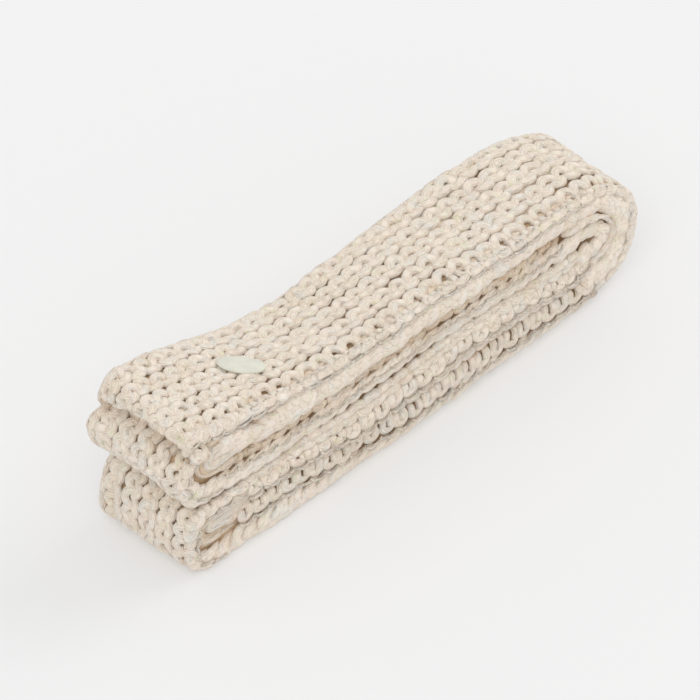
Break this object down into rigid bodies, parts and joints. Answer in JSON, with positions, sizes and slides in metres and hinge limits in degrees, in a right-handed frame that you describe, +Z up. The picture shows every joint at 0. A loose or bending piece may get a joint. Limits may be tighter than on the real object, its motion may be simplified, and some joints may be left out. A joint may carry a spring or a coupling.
{
  "type": "folded knitted snood",
  "caption": "Chunky knitted neck loop in cream tape yarn, doubled lengthwise and folded into a flat rectangular pile, with a small blank oval tag.",
  "frame": {"origin": "centre of the bounding box in plan, on the surface that the pile lies on", "axes": "+X along the folded pile towards its single round turn, +Y towards the lengthwise fold at the back, +Z up from the surface"},
  "size_m": [0.392, 0.0896, 0.119],
  "materials": {
    "knit": "matte chunky knit in soft flat tape yarn, cream",
    "tag_cloth": "smooth matte woven tag, off-white"
  },
  "bodies": {
    "root": {"top_stretch": "knit", "right_turn": "knit", "base_stretch": "knit", "upper_left_fold": "knit", "lower_left_fold": "knit", "hidden_layers": "knit", "tag": "tag_cloth"}
  },
  "joints": []
}
